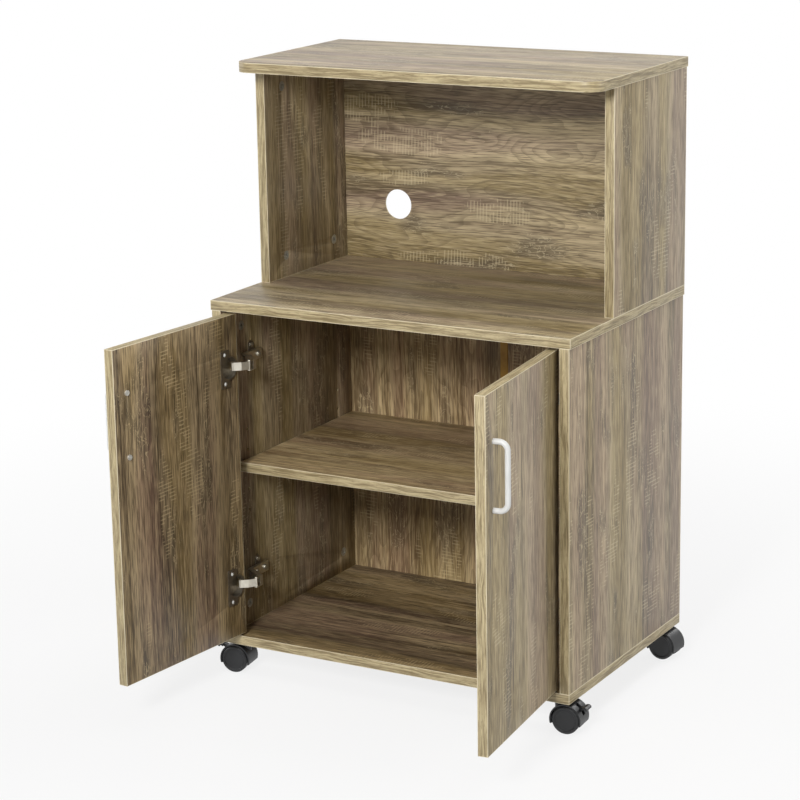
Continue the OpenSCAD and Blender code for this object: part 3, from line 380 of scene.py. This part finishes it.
def plated(name, colour, worn, roughness, mark_mm):
    """Plated or cast metal: a tint that clouds a little, with small changes of polish.

    Real specks are finer than 0.2 mm, drawn here at 0.9 mm, or they wouldn't show.
    """
    made, tree, shader = start_material(name)
    where = add_node(tree, "TexCoord")["Object"]
    cloud = add_node(tree, "TexNoise", {
        "Vector": where, "Scale": per(mark_mm), "Detail": 5.0})[0]
    speck = add_node(tree, "TexNoise", {"Vector": where, "Scale": per(0.9), "Detail": 2.0})[0]
    tint = add_node(tree, "Mix", {0: cloud, 6: linear(colour), 7: linear(worn)},
                    data_type="RGBA")[2]
    rough = add_node(tree, "MapRange", {
        "Value": speck, "From Min": 0.3, "From Max": 0.7,
        "To Min": roughness - 0.06, "To Max": roughness + 0.08})[0]
    bump = add_node(tree, "Bump", {
        "Height": speck, "Strength": 0.2, "Distance": 0.02 * MM})[0]
    tree.links.new(tint, shader.inputs["Base Color"])
    tree.links.new(rough, shader.inputs["Roughness"])
    tree.links.new(bump, shader.inputs["Normal"])
    shader.inputs["Metallic"].default_value = 1.0
    return made


def finish_nodes(made, *names):
    """Gives CAD nodes a material in place of the one they came with."""
    for node in names:
        slots = frame["nodes"][node].data.materials
        slots.clear()
        slots.append(made)


# Zinc from the die is grey and dull. Zinc plating on smooth steel is brighter and clearer
cast_zinc = plated("die_cast_zinc", "#c8c8c2", "#a0a09a", 0.55, 4.0)
bright_steel = plated("zinc_plated_steel", "#cfcfca", "#a8a8a2", 0.30, 5.0)
finish_nodes(cast_zinc, "cam_locks", "cam_bolts", "caster_inserts")


def beech(name):
    """Turned beech: pale, with short darker flecks along the dowel, drawn twice their size."""
    made, tree, shader = start_material(name)
    where = add_node(tree, "TexCoord")["Object"]
    along = add_node(tree, "Mapping", {
        "Vector": where, "Scale": (per(1.2), per(1.2), per(9))})[0]
    fleck = add_node(tree, "TexNoise", {"Vector": along, "Scale": 1.0, "Detail": 3.0})[0]
    tint = add_node(tree, "Mix", {0: fleck, 6: linear("#d8b88a"), 7: linear("#b08a5a")},
                    data_type="RGBA")[2]
    bump = add_node(tree, "Bump", {
        "Height": fleck, "Strength": 0.3, "Distance": 0.05 * MM})[0]
    tree.links.new(tint, shader.inputs["Base Color"])
    tree.links.new(bump, shader.inputs["Normal"])
    shader.inputs["Roughness"].default_value = 0.7
    return made


finish_nodes(beech("turned_beech"), "dowels")

# ------------------------------------------------------------------ shelf and its pins
# A narrower board on four pressed steel pins. It can be lifted off and set at other heights.

shelf = eased_copy("shelf", "shelf_banded", BAND_EASE)
# The shelf takes the lighter, warmer copy of the print: painted light inside the cupboard
oak_print("oak_melamine_shelf", shelf, FLAT_GRAIN_X, TAWNY_PAINTED_LIGHT, 41.6)
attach(shelf, "shelf")

# Nickel plating, burnished: a warm white metal with soft, clear lights
nickel = plated("nickel_plated_steel", "#e4dfd1", "#b9b4a6", 0.34, 6.0)
finish_nodes(nickel, "shelf_pins")

# ------------------------------------------------------------------ doors
# Two inset doors of the same board with upright grain, each on two concealed hinges. They
# stand open past a right angle, so their print is turned with them.

swing = {j["name"]: math.radians(j["range_deg"][1]) for j in frame["joints"]
         if j["name"].endswith("door_hinge")}

for seed, side, sign in ((47.5, "left", 1), (53.9, "right", -1)):
    open_angle = swing[f"{side}_door_hinge"]
    across = (sign * math.cos(open_angle), -math.sin(open_angle), 0)
    through = (-across[1], across[0], 0)
    door = eased_copy(f"{side}_door", f"{side}_door_banded", BAND_EASE)
    # The left door takes the darker copy of the print, painted shade; the right door takes the
    # plain one
    tones = PAINTED_SHADE_TONES if side == "left" else WEATHERED
    oak_print(f"oak_melamine_{side}_door", door, ((0, 0, 1), across, through), tones, seed)
    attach(door, f"{side}_door")

# ------------------------------------------------------------------ handles
# A bow of round steel bar, bent twice and enamelled in satin white, held by two screws
# from inside the door.


def enamel(name):
    """Satin white stove enamel: a soft orange peel and a slightly warm tint in places."""
    made, tree, shader = start_material(name)
    where = add_node(tree, "TexCoord")["Object"]
    peel = add_node(tree, "TexNoise", {"Vector": where, "Scale": per(1.5), "Detail": 1.0})[0]
    cloud = add_node(tree, "TexNoise", {"Vector": where, "Scale": per(25), "Detail": 2.0})[0]
    tint = add_node(tree, "Mix", {0: cloud, 6: linear("#dcdcda"), 7: linear("#c8c8c5")},
                    data_type="RGBA")[2]
    bump = add_node(tree, "Bump", {
        "Height": peel, "Strength": 0.2, "Distance": 0.03 * MM})[0]
    tree.links.new(tint, shader.inputs["Base Color"])
    tree.links.new(bump, shader.inputs["Normal"])
    shader.inputs["Roughness"].default_value = 0.32
    shader.inputs["IOR"].default_value = RESIN_IOR
    return made


finish_nodes(enamel("satin_white_enamel"), "left_handle", "right_handle")
# Bright zinc on the screws' broad heads: nearly white, and brushed dull
screw_zinc = plated("bright_zinc_screw", "#e8e8e4", "#d2d2cc", 0.55, 5.0)
finish_nodes(screw_zinc, "left_handle_screws", "right_handle_screws")

# ------------------------------------------------------------------ concealed hinges
# Pressed nickel-plated steel: a cup let into the door, links, and a cranked arm on a
# mounting plate. The plates and the cups' flanges take a darker copy of the nickel: painted shade.

# A darker, greyer and rougher copy of the nickel: painted shade on the plates and the cups'
# flanges
nickel_painted_shade = plated("nickel_plate_painted_shade", "#a8a193", "#79736a", 0.42, 5.0)
finish_nodes(nickel_painted_shade, "left_hinge_cups", "right_hinge_cups", "hinge_plates")
finish_nodes(nickel, "left_hinge_links", "right_hinge_links", "hinge_arms")
finish_nodes(bright_steel, "left_cup_screws", "right_cup_screws", "plate_screws",
             "arm_screws", "hinge_pins")

# ------------------------------------------------------------------ casters
# Twin-wheel casters moulded in black nylon: a hooded housing turns on a steel stem under
# the base board. The two in front have a brake lever on a steel pin.

# Black nylon from the mould: nearly black with a broad soft sheen, duller on the wheels
black_nylon = moulded("moulded_black_nylon", "#0f1012", "#1a1b1d", 0.38, 0.8, 0.03)
wheel_nylon = moulded("moulded_wheel_nylon", "#121315", "#1e1f21", 0.44, 0.8, 0.03)

for corner in ("front_left", "front_right", "rear_left", "rear_right"):
    finish_nodes(black_nylon, f"{corner}_housing")
    finish_nodes(wheel_nylon, f"{corner}_wheel_a", f"{corner}_wheel_b")
    finish_nodes(bright_steel, f"{corner}_axle")
for corner in ("front_left", "front_right"):
    finish_nodes(black_nylon, f"{corner}_brake")
    finish_nodes(bright_steel, f"{corner}_brake_pin")
finish_nodes(bright_steel, "caster_stems")

# ------------------------------------------------------------------ floor, light and camera
# A plain white floor that runs out of sight, a soft light overhead, one in front at the
# height that the shadows under the boards show, weaker ones on both sides and behind, and
# a long lens from the front right.

FLOOR_HALF = 30.0
NEAR_FLOOR = 0.6
FAR_FLOOR = 1.9
SHADOW_LIFT = 0.82
ROOM_LIGHT = 0.05
WHITE = (1.0, 1.0, 1.0, 1.0)
bpy.ops.object.select_all(action="DESELECT")
bpy.ops.mesh.primitive_plane_add(size=2 * FLOOR_HALF, location=(0, 0, 0))
floor = bpy.context.object
floor.name = "studio_floor"


def seen_directly(tree):
    """1 for what the camera sees, straight on or in a gloss or through glass, else 0."""
    rays = add_node(tree, "LightPath")
    seen = add_node(tree, "Math", {0: rays["Is Camera Ray"], 1: rays["Is Glossy Ray"]},
                    operation="MAXIMUM")[0]
    return add_node(tree, "Math", {0: seen, 1: rays["Is Transmission Ray"]},
                    operation="MAXIMUM")[0]


# White paper that keeps a pale shadow near the cart and is plain white farther off
paper, tree, shader = start_material("white_studio_paper")
shader.inputs["Base Color"].default_value = linear("#dedede")
shader.inputs["Roughness"].default_value = 0.9
spot = add_node(tree, "TexCoord")["Object"]
away = add_node(tree, "VectorMath", {0: spot}, operation="LENGTH")[1]
lift = add_node(tree, "MapRange", {
    "Value": away, "From Min": NEAR_FLOOR, "From Max": FAR_FLOOR, "To Min": SHADOW_LIFT,
    "To Max": 1.0}, interpolation_type="SMOOTHSTEP")[0]
lift = add_node(tree, "Math", {0: lift, 1: seen_directly(tree)}, operation="MULTIPLY")[0]
glow = add_node(tree, "Emission", {"Color": WHITE, "Strength": 1.0})[0]
white = add_node(tree, "MixShader", {0: lift, 1: shader.outputs[0], 2: glow})[0]
tree.links.new(white, tree.nodes["Material Output"].inputs["Surface"])
floor.data.materials.append(paper)

world = bpy.data.worlds.new("studio")
bpy.context.scene.world = world
world.use_nodes = True
tree = world.node_tree
backdrop = tree.nodes["Background"]
backdrop.inputs["Color"].default_value = WHITE
strength = add_node(tree, "MapRange", {
    "Value": seen_directly(tree), "From Min": 0.0, "From Max": 1.0, "To Min": ROOM_LIGHT,
    "To Max": 1.0})[0]
tree.links.new(strength, backdrop.inputs["Strength"])

# Name, place and side in metres, power in watts
SOFTBOXES = (
    ("overhead", (0.0, 0.0, 3.4), 2.0, 34),
    ("front", (0.5, -3.0, 2.0), 0.75, 94),
    ("right", (3.0, 0.9, 1.4), 1.0, 28),
    ("left", (-3.2, -0.4, 1.3), 1.0, 22),
    ("rear", (0.9, 2.8, 2.6), 1.2, 40),
)
MIDDLE_OF_CART = Vector((0, 0.1, 0.5))
for name, place, size, power in SOFTBOXES:
    lamp = bpy.data.lights.new(f"softbox_{name}", "AREA")
    lamp.shape = "SQUARE"
    lamp.size = size
    lamp.energy = power
    box = bpy.data.objects.new(f"softbox_{name}", lamp)
    box.location = place
    box.rotation_euler = (MIDDLE_OF_CART - Vector(place)).to_track_quat("-Z", "Y").to_euler()
    bpy.context.collection.objects.link(box)

# The camera fitted to the corners and edges of the cart in the photograph
CAMERA_AT = Vector((1.81437, -3.21239, 1.41978))
YAW = math.radians(29.62)
PITCH = math.radians(-14.62)
ROLL = math.radians(-0.99)
FOCAL = 115.63
SENSOR = 36.0
view = Vector((-math.sin(YAW) * math.cos(PITCH), math.cos(YAW) * math.cos(PITCH), math.sin(PITCH)))
level = Vector((math.cos(YAW), math.sin(YAW), 0))
upward = level.cross(view)
right = math.cos(ROLL) * level + math.sin(ROLL) * upward
top = -math.sin(ROLL) * level + math.cos(ROLL) * upward
camera = bpy.data.objects.new("camera", bpy.data.cameras.new("camera"))
camera.data.sensor_width = SENSOR
camera.data.lens = FOCAL
camera.data.clip_end = 100.0
camera.matrix_world = Matrix((right, top, -view)).transposed().to_4x4()
camera.location = CAMERA_AT
bpy.context.collection.objects.link(camera)
bpy.context.scene.camera = camera
bpy.context.scene.view_settings.view_transform = "Standard"
